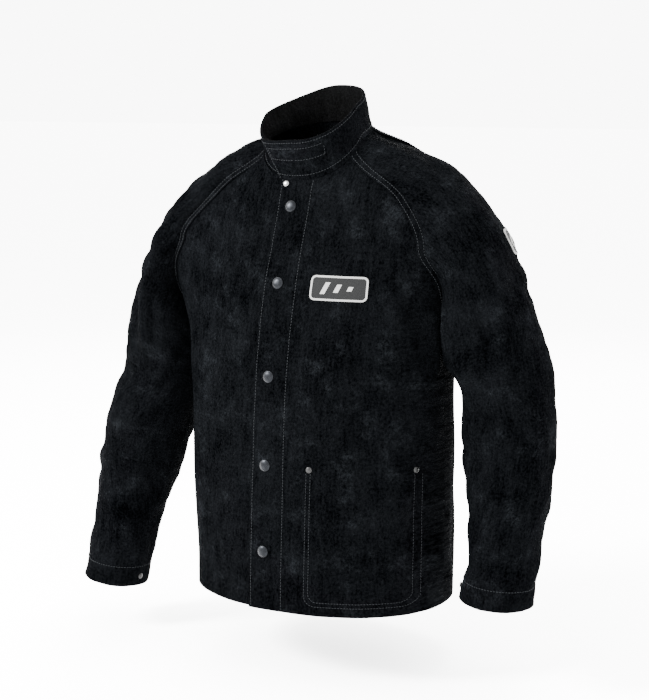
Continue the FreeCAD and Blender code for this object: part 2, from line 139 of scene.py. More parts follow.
def fold_height(points, folds):
    """How far the folds lift each point off the smooth surface."""
    flat = points.reshape(-1, 3)
    total = np.zeros(len(flat))
    for line, width, rise in folds:
        line = np.array(line, dtype=float)
        lengths = np.linalg.norm(np.diff(line, axis=0), axis=1)
        ends = np.concatenate([[0], np.cumsum(lengths)])
        best = np.full(len(flat), 1e9)
        share = np.zeros(len(flat))
        for i, (a, b) in enumerate(zip(line[:-1], line[1:])):
            t = np.clip(((flat - a) @ (b - a)) / lengths[i] ** 2, 0, 1)
            away = np.linalg.norm(flat - (a + t[:, None] * (b - a)), axis=1)
            closer = away < best
            best = np.where(closer, away, best)
            share = np.where(closer, (ends[i] + t * lengths[i]) / ends[-1], share)
        taper = np.clip(np.sin(np.pi * np.clip(share, 0.02, 0.98)), 0, 1) ** 0.6
        total += FOLD_DEPTH * rise * taper * np.exp(-((best / (FOLD_WIDTH * width)) ** 2))
    return total.reshape(points.shape[:-1])


def swell(points, size, seed, stretch=(1, 1, 1)):
    """Slow unevenness of the hide, within -1 to 1. Each seed gives other swells."""
    flat = points.reshape(-1, 3) * np.array(stretch) / size + seed * 17.3
    return np.array([noise.noise(Vector(p)) for p in flat]).reshape(points.shape[:-1])


def crumple(points, size, seed, stretch=(1, 1, 1)):
    """Soft swells between sharp creases, from 0 in a crease upwards."""
    return np.abs(swell(points, size, seed, stretch))


def grid_normals(points):
    """Unit normals of a grid whose rows run upwards and whose columns run to the right when seen from
    outside."""
    return unit(np.cross(np.gradient(points, axis=1), np.gradient(points, axis=0)))


# Body surface


def torso_base(height, turn, lap):
    s = pchip(TORSO[:, 0], TORSO[:, 1:], height)
    sine, cosine = np.sin(np.radians(turn)), np.cos(np.radians(turn))
    width = np.where(sine > 0, s[..., 3], s[..., 2])
    front = cosine > 0
    depth = np.where(front, s[..., 4], s[..., 5])
    rise = np.where(front, s[..., 0], s[..., 1])
    x = np.sign(sine) * np.abs(sine) ** (2 / BOXINESS) * width
    bow = np.sign(cosine) * np.abs(cosine) ** (2 / BOXINESS)
    outside = np.where(front, lap, 0)
    return np.stack([x, -bow * (depth + outside), height - rise * bow * depth], axis=-1)


FRONT_FOLDS = [
    ([(-62, -75, 640), (-70, -92, 590), (-64, -108, 540)], 13, 3.2),
    ([(-84, -70, 625), (-92, -88, 585), (-96, -104, 540)], 11, -2.2),
    ([(58, -70, 645), (40, -88, 600), (16, -104, 565), (2, -112, 540)], 15, 3.4),
    ([(84, -68, 640), (70, -92, 590), (52, -110, 548)], 14, -2.4),
    ([(150, -82, 500), (176, -84, 452), (192, -82, 400)], 15, 4.0),
    ([(192, -60, 470), (204, -58, 420), (206, -52, 372)], 13, -4.0),
    ([(206, -34, 440), (219, -30, 398), (216, -26, 352)], 13, 7.5),
    ([(-146, -84, 500), (-166, -84, 448), (-172, -88, 396)], 15, 3.6),
    ([(-178, -66, 470), (-188, -62, 420), (-190, -58, 366)], 13, -4.0),
    ([(-60, -138, 420), (-92, -132, 340), (-100, -134, 250)], 30, 2.4),
    ([(-128, -108, 360), (-132, -110, 250), (-128, -116, 130)], 24, -2.2),
    ([(60, -140, 400), (92, -134, 330), (104, -134, 250)], 30, 2.2),
    ([(132, -114, 400), (142, -114, 300), (146, -118, 180)], 24, -2.4),
    ([(176, -84, 330), (182, -84, 220), (184, -86, 90)], 20, 2.6),
    ([(-160, -84, 300), (-168, -86, 190), (-166, -86, 80)], 20, 2.0),
]
BACK_FOLDS = [
    ([(-120, 100, 560), (-96, 130, 480), (-84, 142, 380)], 26, 4.0),
    ([(126, 100, 570), (100, 130, 485), (88, 142, 390)], 26, 4.2),
    ([(-172, 92, 470), (-166, 104, 380), (-150, 118, 300)], 17, 5.5),
    ([(178, 92, 475), (172, 104, 385), (156, 118, 300)], 17, 5.5),
    ([(-150, 104, 440), (-138, 118, 340), (-130, 124, 240)], 16, -4.0),
    ([(154, 104, 440), (142, 118, 340), (134, 124, 240)], 16, -4.0),
    ([(-30, 146, 470), (-40, 154, 330), (-30, 158, 160)], 30, 3.0),
    ([(44, 146, 450), (38, 154, 320), (52, 158, 170)], 30, -3.0),
    ([(-110, 138, 300), (-112, 142, 180), (-100, 146, 60)], 26, 3.0),
    ([(120, 134, 290), (124, 138, 170), (118, 142, 60)], 26, 3.0),
]


def body_rise(points):
    """How far the worn hide stands out from the smooth body at a point."""
    front = smooth(15, -30, points[..., 1])
    near_neck = smooth(668, 640, points[..., 2] + 0.25 * np.abs(points[..., 1]))
    total = fold_height(points, FRONT_FOLDS) * front + fold_height(points, BACK_FOLDS) * (1 - front)
    total += 2.4 * swell(points, 95, 1, (1, 1, 0.5))
    total += 1.1 * swell(points, 38, 2, (1, 1, 0.6))
    total += 3.2 * crumple(points, 90, 31, (1, 1, 0.6)) - 0.8
    return total * near_neck


def body(height, turn, lap=0.0, out=0.0):
    """Points on the worn body and its normals. height and turn are arrays of the same shape."""
    height, turn = np.broadcast_arrays(np.asarray(height, float), np.asarray(turn, float))
    base = torso_base(height, turn, lap)
    up = torso_base(height + 1, turn, lap) - torso_base(height - 1, turn, lap)
    round_ = torso_base(height, turn + 0.5, lap) - torso_base(height, turn - 0.5, lap)
    normals = unit(np.cross(round_, up))
    rise = body_rise(base) + out
    return base + normals * rise[..., None], normals


def turn_at(x, height):
    """The turn on the front where the body is x from the axis."""
    s = pchip(TORSO[:, 0], TORSO[:, 1:], height)
    width = np.where(np.asarray(x) > 0, s[..., 3], s[..., 2])
    ratio = np.clip(np.abs(x) / width, 0, 1)
    return np.sign(x) * np.degrees(np.arcsin(ratio ** (BOXINESS / 2)))


def seam_turn(height, back=False):
    return pchip(TORSO[:, 0], TORSO[:, 8 if back else 7], height)


def height_at(z, x=0.0, lap=0.0):
    """The torso's height at its axis for a point of the front that is at height z."""
    z = np.asarray(z, dtype=float)
    low, high = np.full(z.shape, HEM - 5), np.full(z.shape, NECK + 0.0)
    for _ in range(26):
        middle = (low + high) / 2
        below = torso_base(middle, turn_at(np.broadcast_to(x, z.shape), middle), lap)[..., 2] < z
        low, high = np.where(below, middle, low), np.where(below, high, middle)
    return (low + high) / 2


# Where the right front runs on under the flap it lies close behind it.
UNDERLAP_RISE = 4.4


def right_lap(x):
    return UNDERLAP_RISE * smooth(-125, -45, x)


def on_front(x, z, side, out=0.0):
    """Points and normals on a front, for the left (1) or the right (-1), at places (x, z)."""
    x, z = np.broadcast_arrays(np.asarray(x, float), np.asarray(z, float))
    lap = LAP if side > 0 else 0.0
    h = height_at(z, x, lap)
    points, normals = body(h, turn_at(x, h), lap, out)
    if side < 0:
        points = points + normals * right_lap(x)[..., None]
    return points, normals


# Sleeves


def girths(front, back, crown, depth, count):
    """Rows round the sleeve from the front seam over the crown to the back seam."""
    middle = (front + back) / 2
    half = np.linalg.norm(back - front, axis=1, keepdims=True) / 2
    outward = crown - middle
    reach = np.linalg.norm(outward, axis=1, keepdims=True)
    outward = outward / reach
    backward = unit(np.array([0.0, 1, 0]) - outward * outward[:, 1:2])
    depth = np.asarray(depth, float)[:, None]
    swing = np.pi - np.arcsin(np.clip(half / depth, 0, 1))
    radius = reach / (1 - np.cos(swing))
    centre = crown - outward * radius
    angle = swing * np.linspace(-1, 1, count)[None]
    rows = (
        centre[:, None] + outward[:, None] * (radius * np.cos(angle))[..., None]
        + backward[:, None] * (depth * np.sin(angle))[..., None]
    )
    share = np.linspace(0, 1, count)[None, :, None]
    front_shift, back_shift = (front - rows[:, 0])[:, None], (back - rows[:, -1])[:, None]
    return rows + front_shift * (1 - share) ** 3 + back_shift * share**3


SLEEVE_COLUMNS = 97
SLEEVE_FOLDS = {
    1: [
        ([(236, -76, 520), (246, -86, 470), (252, -80, 412)], 11, -4.2),
        ([(262, -82, 540), (270, -86, 490), (276, -78, 430)], 12, 4.2),
        ([(214, -46, 470), (240, -66, 430), (262, -70, 380), (270, -62, 330)], 14, 6.0),
        ([(296, -62, 480), (306, -64, 420), (304, -60, 370), (300, -56, 320)], 12, -5.0),
        ([(320, -56, 470), (330, -56, 400), (330, -52, 340)], 15, 4.6),
        ([(266, -40, 330), (300, -54, 322), (340, -46, 326), (366, -20, 330)], 12, 4.6),
        ([(262, -44, 308), (300, -56, 300), (344, -44, 304), (372, -10, 306)], 10, -4.0),
        ([(262, -40, 288), (300, -54, 280), (340, -50, 276)], 11, 4.2),
        ([(270, -50, 250), (304, -58, 236), (340, -48, 232)], 12, -3.2),
        ([(276, -56, 214), (310, -58, 204), (346, -46, 198)], 12, 3.4),
        ([(290, -66, 150), (322, -64, 142), (352, -48, 140)], 10, 2.8),
        ([(330, -52, 190), (344, -44, 150), (350, -40, 108)], 12, -2.6),
        ([(360, 40, 500), (372, 50, 430), (368, 52, 360)], 18, 4.0),
        ([(372, 30, 330), (376, 44, 300), (366, 58, 270)], 14, -4.5),
    ],
    -1: [
        ([(-214, -80, 500), (-222, -84, 440), (-226, -72, 380)], 12, 5.0),
        ([(-236, -84, 500), (-244, -82, 440), (-248, -70, 370)], 10, -5.2),
        ([(-258, -78, 490), (-266, -76, 430), (-270, -64, 350)], 13, 5.0),
        ([(-284, -62, 470), (-292, -60, 410), (-294, -52, 350)], 12, -4.2),
        ([(-300, -36, 440), (-312, -36, 380), (-318, -32, 320)], 16, 3.6),
        ([(-226, -40, 380), (-236, -56, 340), (-256, -64, 300), (-280, -68, 262)], 13, 5.0),
        ([(-236, -38, 320), (-262, -64, 286), (-300, -68, 270), (-336, -52, 270)], 11, -4.4),
        ([(-244, -44, 290), (-276, -68, 256), (-316, -72, 244), (-350, -50, 246)], 12, 4.6),
        ([(-256, -58, 240), (-290, -76, 218), (-330, -74, 210), (-362, -50, 214)], 11, -4.0),
        ([(-262, -64, 206), (-300, -78, 186), (-340, -74, 180), (-368, -50, 184)], 12, 4.4),
        ([(-276, -70, 160), (-310, -84, 142), (-350, -78, 138)], 11, -3.0),
        ([(-286, -76, 126), (-320, -88, 108), (-358, -76, 106)], 11, 3.0),
        ([(-330, 48, 420), (-344, 54, 360), (-352, 54, 300)], 18, 4.0),
    ],
}


def sleeve_rows(side):
    """Rows of sleeve points from cuff to neck, and the distance up the crown at each."""
    flip = np.array([side, 1, 1])
    centres = TUBES[side][:, :3] * flip
    radii = TUBES[side][:, 3]
    along = np.gradient(centres, axis=0)
    outward = unit(np.cross(np.array([0.0, side, 0]), along))
    under = centres - outward * radii[:, None]
    tube = girths(under, under, centres + outward * radii[:, None], radii, SLEEVE_COLUMNS)
    heights = np.linspace(ARMPIT, NECK, 34)
    cap = pchip(CAPS[side][:, 0], CAPS[side][:, 1:], heights)
    lap = LAP if side > 0 else 0.0
    front, _ = body(heights, side * seam_turn(heights), lap)
    back, _ = body(heights, side * (180 - seam_turn(heights, True)), 0.0)
    rows = girths(front, back, cap[:, :3] * flip, cap[:, 3], SLEEVE_COLUMNS)
    turns = np.linspace(seam_turn(NECK), 180 - seam_turn(NECK, True), SLEEVE_COLUMNS)
    ring, _ = body(np.full(SLEEVE_COLUMNS, NECK), side * turns, lap)
    settle = smooth(640, NECK, heights)[:, None, None]
    rows = rows * (1 - settle) + (rows + (ring - rows[-1])[None]) * settle
    rows = np.concatenate([tube, rows])
    crown = rows[:, SLEEVE_COLUMNS // 2]
    distance = np.concatenate([[0], np.cumsum(np.linalg.norm(np.diff(crown, axis=0), axis=1))])
    return rows, distance, distance[len(tube)]


def sleeve_grid(side, count):
    rows, distance, armpit = sleeve_rows(side)
    v = np.linspace(0, distance[-1], count)
    points = pchip(distance, rows, v)
    normals = grid_normals(points) * side
    share = np.linspace(0, 1, SLEEVE_COLUMNS)[None]
    cap = smooth(armpit - 60, armpit + 10, v)[:, None]
    girth = np.linalg.norm(np.diff(points, axis=1), axis=2).sum(axis=1)[:, None]
    from_seam = np.minimum(share, 1 - share) * girth
    free = 1 - cap * (1 - smooth(2, 34, from_seam))
    free = free * smooth(v[-1], v[-1] - 60, v)[:, None]
    rise = fold_height(points, SLEEVE_FOLDS[side])
    rise += 3.0 * swell(points, 70, 3 + side, (1, 1, 0.7)) + 1.3 * swell(points, 30, 6 + side)
    rise += 6.5 * crumple(points, 66, 12 + side, (0.8, 0.8, 1.3))
    rise += 3.0 * crumple(points, 30, 15 + side) - 2.4
    points = points + normals * (rise * free)[..., None]
    across = (share - 0.5) * girth
    return points, across, np.broadcast_to(v[:, None], across.shape)


# Meshes


def new_object(name, mesh, material):
    obj = bpy.data.objects.new(name, mesh)
    bpy.context.scene.collection.objects.link(obj)
    mesh.materials.append(material)
    return obj


def store_lay(mesh, lay):
    """Each vertex's place in its panel, in millimetres across and along the hide."""
    layer = mesh.attributes.new("lay", "FLOAT_VECTOR", "POINT")
    layer.data.foreach_set("vector", np.asarray(lay, dtype=np.float32).ravel())


def hide(name, points, normals, material, across, along, seed, closed=False, depth=HIDE, foot=0.0):
    """A layer of hide: a grid of outer points and the same grid further in, joined round the edges. Its
    outer face starts foot below the points."""
    rows = points.shape[0]
    if closed:
        points, normals = points[:, :-1], normals[:, :-1]
        across, along = across[:, :-1], along[:, :-1]
    wide = points.shape[1]
    outer = (points - normals * foot).reshape(-1, 3)
    inner = (points - normals * (foot + depth)).reshape(-1, 3)
    count = rows * wide

    def at(r, c):
        return r * wide + c % wide

    faces = []
    for r in range(rows - 1):
        for c in range(wide if closed else wide - 1):
            quad = [at(r, c), at(r, c + 1), at(r + 1, c + 1), at(r + 1, c)]
            faces.append(quad)
            faces.append([count + k for k in reversed(quad)])
    edges = []
    for c in range(wide if closed else wide - 1):
        edges.append((at(0, c + 1), at(0, c)))
        edges.append((at(rows - 1, c), at(rows - 1, c + 1)))
    if not closed:
        for r in range(rows - 1):
            edges.append((at(r, 0), at(r + 1, 0)))
            edges.append((at(r + 1, wide - 1), at(r, wide - 1)))
    rim = [[a, b, count + b, count + a] for a, b in edges]
    mesh = bpy.data.meshes.new(name)
    mesh.from_pydata(metres(np.concatenate([outer, inner])).tolist(), [], faces + rim)
    mesh.update()
    lay = np.stack([across, along, np.full(across.shape, 100.0 * seed)], axis=-1).reshape(-1, 3)
    store_lay(mesh, np.concatenate([lay, lay + np.array([0, 0, 50])]))
    work = bmesh.new()
    work.from_mesh(mesh)
    work.faces.ensure_lookup_table()
    bmesh.ops.recalc_face_normals(work, faces=work.faces)
    for face in work.faces:
        face.smooth = True
    for face in work.faces[len(faces):]:
        for edge in face.edges:
            if any(other.index < len(faces) for other in edge.link_faces):
                edge.smooth = False
    work.to_mesh(mesh)
    work.free()
    return new_object(name, mesh, material)


def resample(points, normals, step, phase=0.0):
    """Places every step along a line of points: positions, directions and normals."""
    lengths = np.linalg.norm(np.diff(points, axis=0), axis=1)
    far = np.concatenate([[0], np.cumsum(lengths)])
    at = np.arange(phase, far[-1] - step * 0.4, step)
    spots = np.stack([np.interp(at, far, points[:, k]) for k in range(3)], axis=1)
    ahead = np.stack([np.interp(at + 0.5, far, points[:, k]) for k in range(3)], axis=1)
    outs = unit(np.stack([np.interp(at, far, normals[:, k]) for k in range(3)], axis=1))
    return spots, unit(ahead - spots), outs


STITCH_PITCH, STITCH_LENGTH, THREAD = 4.3, 3.1, 0.42

# Along a stitch: share of its length, girth as a share of the thread's radius, and lift in the same unit.
STITCH_SHAPE = [
    (-0.5, 0.25, -0.35), (-0.38, 0.85, 0.1), (0.0, 1.0, 0.3), (0.38, 0.85, 0.1), (0.5, 0.25, -0.35),
]


def band_faces(start, count):
    """The faces between a ring of vertices that begins at start and the ring after it."""
    turns = [(k, (k + 1) % count) for k in range(count)]
    return [[start + k, start + j, start + count + j, start + count + k] for k, j in turns]


def stitches(name, runs, material):
    """Rows of thread: each stitch is a short bead that dips into the hide at its ends."""
    sides = 5
    vertices, faces = [], []
    for points, normals in runs:
        spots, along, outs = resample(np.asarray(points), np.asarray(normals), STITCH_PITCH, 1.5)
        beside = unit(np.cross(along, outs))
        for p, a, o, b in zip(spots, along, outs, beside):
            start = len(vertices)
            for share, girth, lift in STITCH_SHAPE:
                middle = p + a * (share * STITCH_LENGTH) + o * (lift * THREAD)
                for k in range(sides):
                    angle = 2 * math.pi * k / sides
                    vertices.append(middle + (b * math.cos(angle) + o * math.sin(angle)) * THREAD * girth)
            for r in range(len(STITCH_SHAPE) - 1):
                faces += band_faces(start + r * sides, sides)
            last = start + (len(STITCH_SHAPE) - 1) * sides
            faces.append([start + k for k in reversed(range(sides))])
            faces.append([last + k for k in range(sides)])
    mesh = bpy.data.meshes.new(name)
    mesh.from_pydata(metres(vertices).tolist(), [], faces)
    mesh.polygons.foreach_set("use_smooth", [True] * len(mesh.polygons))
    return new_object(name, mesh, material)


def turned(name, frames, profile, material, segments=40):
    """The same turned shape on each frame. profile is (radius, height) pairs from the outside in."""
    vertices, faces = [], []
    for point, out in frames:
        side = unit(np.cross(out, np.array([0, 0, 1.0])))
        other = np.cross(out, side)
        start = len(vertices)
        for radius, rise in profile[:-1]:
            for k in range(segments):
                angle = 2 * math.pi * k / segments
                spoke = side * math.cos(angle) + other * math.sin(angle)
                vertices.append(point + spoke * radius + out * rise)
        top = len(vertices)
        vertices.append(point + out * profile[-1][1])
        for r in range(len(profile) - 2):
            faces += band_faces(start + r * segments, segments)
        ring = start + (len(profile) - 2) * segments
        faces += [[ring + k, ring + (k + 1) % segments, top] for k in range(segments)]
        faces.append([start + k for k in reversed(range(segments))])
    mesh = bpy.data.meshes.new(name)
    mesh.from_pydata(metres(vertices).tolist(), [], faces)
    mesh.polygons.foreach_set("use_smooth", [True] * len(mesh.polygons))
    work = bmesh.new()
    work.from_mesh(mesh)
    bmesh.ops.recalc_face_normals(work, faces=work.faces)
    work.to_mesh(mesh)
    work.free()
    return new_object(name, mesh, material)


# Materials


class Nodes:
    """Builds one procedural material."""

    def __init__(self, name):
        self.material = bpy.data.materials.new(name)
        self.material.use_nodes = True
        self.tree = self.material.node_tree
        self.bsdf = self.tree.nodes["Principled BSDF"]

    def add(self, kind, inputs=(), **settings):
        node = self.tree.nodes.new(kind)
        for key, value in settings.items():
            setattr(node, key, value)
        for key, value in dict(inputs).items():
            self.feed(node.inputs[key], value)
        return node

    def feed(self, socket, value):
        if isinstance(value, bpy.types.NodeSocket):
            self.tree.links.new(value, socket)
        else:
            socket.default_value = value

    def math(self, operation, a, b=0.0):
        return self.add("ShaderNodeMath", {0: a, 1: b}, operation=operation).outputs[0]

    def noise(self, place, scale, detail=2.0, roughness=0.5):
        node = self.add("ShaderNodeTexNoise", {
            "Vector": place, "Scale": scale, "Detail": detail, "Roughness": roughness})
        return node.outputs["Fac"]

    def scaled(self, place, factors):
        node = self.add("ShaderNodeVectorMath", {0: place, 1: factors}, operation="MULTIPLY")
        return node.outputs["Vector"]

    def brightened(self, colour, factor):
        node = self.add("ShaderNodeVectorMath", {0: colour}, operation="SCALE")
        self.feed(node.inputs["Scale"], factor)
        return node.outputs["Vector"]

    def bump(self, height, strength, distance):
        node = self.add("ShaderNodeBump", {"Height": height, "Strength": strength, "Distance": distance})
        self.feed(self.bsdf.inputs["Normal"], node.outputs["Normal"])

    def surface(self, **inputs):
        """Sets inputs of the surface, whose names are written here with underscores for spaces."""
        for key, value in inputs.items():
            self.feed(self.bsdf.inputs[key.replace("_", " ")], value)

    def spread(self, value, low, high, to_low=0.0, to_high=1.0):
        node = self.add("ShaderNodeMapRange", {
            "Value": value, "From Min": low, "From Max": high, "To Min": to_low, "To Max": to_high})
        return node.outputs["Result"]

    def mix(self, share, a, b):
        node = self.add("ShaderNodeMix", data_type="RGBA")
        self.feed(node.inputs["Factor"], share)
        sockets = [s for s in node.inputs if s.type == "RGBA"]
        self.feed(sockets[0], a)
        self.feed(sockets[1], b)
        return [s for s in node.outputs if s.type == "RGBA"][0]


def suede(name, dark, light, worn):
    """Split leather: brushed nap in soft patches and streaks, with coarse grain and rubbed places."""
    n = Nodes(name)
    place = n.add("ShaderNodeAttribute", attribute_name="lay").outputs["Vector"]
    patches = n.noise(place, 0.014, 4.0, 0.65)
    clouds = n.noise(n.scaled(place, (1.0, 0.5, 1.0)), 0.045, 5.0, 0.68)
    streaks = n.noise(n.scaled(place, (1.0, 0.14, 1.0)), 0.2, 4.0, 0.65)
    mottle = n.noise(n.scaled(place, (1.0, 0.7, 1.0)), 0.34, 4.0, 0.75)
    grain = n.noise(place, 1.2, 3.0, 0.75)
    tone = 0.0
    for layer, weight in ((patches, 0.2), (clouds, 0.2), (streaks, 0.18), (mottle, 0.42)):
        tone = n.math("ADD", n.math("MULTIPLY", layer, weight), tone)
    share = n.spread(tone, 0.415, 0.615)
    colour = n.mix(share, dark, light)
    rubbed = n.spread(n.noise(place, 0.028, 7.0, 0.75), 0.55, 0.7)
    colour = n.mix(n.math("MULTIPLY", rubbed, n.spread(mottle, 0.38, 0.66, 0.0, 0.75)), colour, worn)
    n.surface(
        Base_Color=n.brightened(colour, n.spread(grain, 0.3, 0.7, 0.55, 1.5)),
        Roughness=n.spread(mottle, 0.3, 0.7, 0.98, 0.8),
        Specular_IOR_Level=n.math("MULTIPLY", share, 0.0035),
        Sheen_Weight=n.math("MULTIPLY", share, 0.0014),
        Sheen_Roughness=0.45,
        Sheen_Tint=(0.62, 0.72, 0.85, 1),
    )
    relief = n.math("ADD", n.math("MULTIPLY", mottle, 0.9), n.math("MULTIPLY", grain, 0.25))
    n.bump(n.math("ADD", relief, n.math("MULTIPLY", clouds, 1.6)), 0.8, 0.0032)
    return n.material


def metal(name, colour, roughness, wear):
    """Plated metal with fine scratches and tarnished blotches."""
    n = Nodes(name)
    place = n.add("ShaderNodeTexCoord").outputs["Object"]
    scratches = n.noise(n.scaled(place, (1.0, 1.0, 0.2)), 900.0, 3.0, 0.7)
    blotches = n.noise(place, 160.0, 3.0, 0.6)
    n.surface(
        Base_Color=n.brightened(colour, n.spread(blotches, 0.35, 0.65, 1 - wear, 1.0)),
        Metallic=1.0,
        Roughness=n.spread(scratches, 0.3, 0.7, roughness, roughness + 0.14),
    )
    n.bump(scratches, 0.15, 0.0002)
    return n.material


def thread(name, colour, ribs=4000.0):
    """Twisted yarn, or a woven patch of it."""
    n = Nodes(name)
    place = n.add("ShaderNodeTexCoord").outputs["Object"]
    twist = n.add(
        "ShaderNodeTexWave", {"Vector": place, "Scale": ribs, "Distortion": 2.0}, bands_direction="DIAGONAL"
    ).outputs["Fac"]
    fuzz = n.noise(place, 1500.0, 3.0, 0.7)
    shade = n.spread(n.math("ADD", n.math("MULTIPLY", twist, 0.5), fuzz), 0.4, 1.1, 0.7, 1.15)
    n.surface(Base_Color=n.brightened(colour, shade), Roughness=0.8, Specular_IOR_Level=0.1)
    n.bump(twist, 0.4, 0.0002)
    return n.material


# Each hide: its darkest nap, its lightest, and where it is rubbed
SUEDE = suede(
    "split_suede",
    (0.00006, 0.00008, 0.00012, 1), (0.00145, 0.00163, 0.00192, 1), (0.0041, 0.0047, 0.0054, 1))
FLESH = suede(
    "flesh_side",
    (0.0005, 0.0005, 0.0005, 1), (0.0018, 0.00185, 0.0019, 1), (0.003, 0.0031, 0.0032, 1))
GUNMETAL = metal("gunmetal", (0.0075, 0.008, 0.009), 0.3, 0.4)
NICKEL = metal("nickel", (0.11, 0.11, 0.108), 0.2, 0.1)
DULL_NICKEL = metal("dull_nickel", (0.018, 0.018, 0.018), 0.36, 0.4)
THREAD_GREY = thread("blue_grey_thread", (0.0033, 0.004, 0.0048))
BADGE_DARK = thread("badge_ground", (0.0007, 0.0008, 0.0009), 2200.0)
BADGE_PALE = thread("badge_edge", (0.12, 0.12, 0.117), 2200.0)
TAPE = thread("hook_tape", (0.0026, 0.0026, 0.0026), 1800.0)

# Where a piece bends between two bodies: the far one, and the places where the bend starts and ends
BENDS = {
    "left_front": ("left_front", (-0.030, -0.10, -0.073), (-0.333, -0.10, -0.445)),
    "collar_tab": ("collar_tab", (0.004, -0.066, -0.032), (-0.026, -0.066, -0.032)),
    "left_sleeve": ("left_forearm", (0.310, 0.014, -0.330), (0.310, 0.014, -0.470)),
    "right_sleeve": ("right_forearm", (-0.291, -0.002, -0.348), (-0.291, -0.002, -0.488)),
}


def place(obj, body_name, slot):
    """Rides on a body; a piece listed in BENDS only has its transform baked into its mesh."""
    if body_name in BENDS:
        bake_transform(obj)
    else:
        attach(obj, body_name)
    return obj


def repaint(node, material):
    """Gives a CAD node that stays visible its material."""
    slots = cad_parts[node].data.materials
    slots.clear()
    slots.append(material)


# Body panels

ROWS = 150
heights = np.linspace(HEM, NECK, ROWS)[:, None]
FLAP_X, FACING_X, UNDER_X = -24.0, 30.0, 24.0


def panel(name, first, last, columns, lap, seed, body_name="torso", pull=None):
    """A body panel between two columns of turns, at every height. pull(points) lifts it off the body."""
    share = np.linspace(0, 1, columns)[None]
    turns = first + (last - first) * share
    points, normals = body(np.broadcast_to(heights, turns.shape), turns, lap)
    if pull is not None:
        points = points + normals * pull(points)[..., None]
    obj = hide(name, points, normals, SUEDE, points[..., 0], points[..., 2], seed)
    return place(obj, body_name, "split_leather")


column = heights[:, 0]
left_first, right_first = (turn_at(np.full(ROWS, x), column)[:, None] for x in (FLAP_X, UNDER_X))
front_seam, back_seam = seam_turn(column)[:, None], seam_turn(column, True)[:, None]


def pocket_bulge(points):
    """The inside pocket just shows through the left front."""
    x, z = points[..., 0], points[..., 2]
    inside = smooth(64, 70, x) * smooth(208, 200, x) * smooth(24, 31, z) * smooth(226, 214, z)
    ledge = smooth(FACING_X + 4, FACING_X - 2, x)
    return 0.9 * inside + 0.7 * ledge


left_front = panel(
    "left_front", left_first, front_seam, 74, LAP, 1, body_name="left_front", pull=pocket_bulge)
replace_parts(left_front, "left_front_panel", "left_chest_panel", "inside_pocket")
right_front = panel(
    "right_front", -front_seam, right_first, 74, 0.0, 2, pull=lambda p: right_lap(p[..., 0]))
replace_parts(right_front, "right_front_panel")
back = panel("back", 180 - back_seam, 180 + back_seam, 120, 0.0, 3)
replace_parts(back, "back_panel")

# Facings behind the snaps


def facing(name, low_x, high_x, side, body_name, seed):
    x = np.linspace(low_x, high_x, 10)[None]
    z_top = torso_base(np.array([NECK]), np.array([0.0]), 0.0)[0, 2]
    z = np.linspace(HEM + 1.0, z_top - 3, 90)[:, None]
    points, normals = on_front(*np.broadcast_arrays(x, z), side)
    obj = hide(name, points, normals, FLESH, points[..., 0], points[..., 2], seed, foot=HIDE + 0.1)
    return place(obj, body_name, "leather_lining")


left_facing = facing("left_facing", FLAP_X + 0.6, FACING_X + 4, 1, "left_front", 4)
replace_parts(left_facing, "left_front_facing", "left_chest_facing")
right_facing = facing("right_facing", -FACING_X, UNDER_X - 1, -1, "torso", 5)
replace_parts(right_facing, "right_front_facing")

# Sleeves, each with a lapped seam allowance sewn down on the body with two rows

SLEEVE_ROWS = 170
LAP_WIDTH, LAP_RISE = 11.0, 2.4
LAP_STITCHES = (0.22, 0.82)       # the two rows, as shares of the lap's width
CUFF_ROWS, CUFF_STITCH_ROW = 12, 6
BODY_SIDE = {1: "left", -1: "right"}
sleeve_points = {}


def seam_strip(side, back_side):
    """The edge of the sleeve where it laps over the body along a raglan seam."""
    h = np.linspace(ARMPIT + 4, NECK - 1, 90)
    seam = seam_turn(h, back_side)
    steps = np.linspace(0, 1, 6)[None]
    lap = LAP if side > 0 and not back_side else 0.0
    s = pchip(TORSO[:, 0], TORSO[:, 1:], h)
    half = (s[:, 3] if side > 0 else s[:, 2])
    degrees = np.degrees(LAP_WIDTH / np.maximum((half + s[:, 4]) / 2, 60))
    turns = seam[:, None] + 1.0 - (degrees[:, None] + 1.0) * steps
    if back_side:
        turns = 180 - turns
    turns = side * turns
    points, normals = body(np.broadcast_to(h[:, None], turns.shape), turns, lap)
    edge = LAP_RISE + 0.25 - 0.5 * steps**6
    points = points + normals * np.broadcast_to(edge, turns.shape)[..., None]
    return points, normals


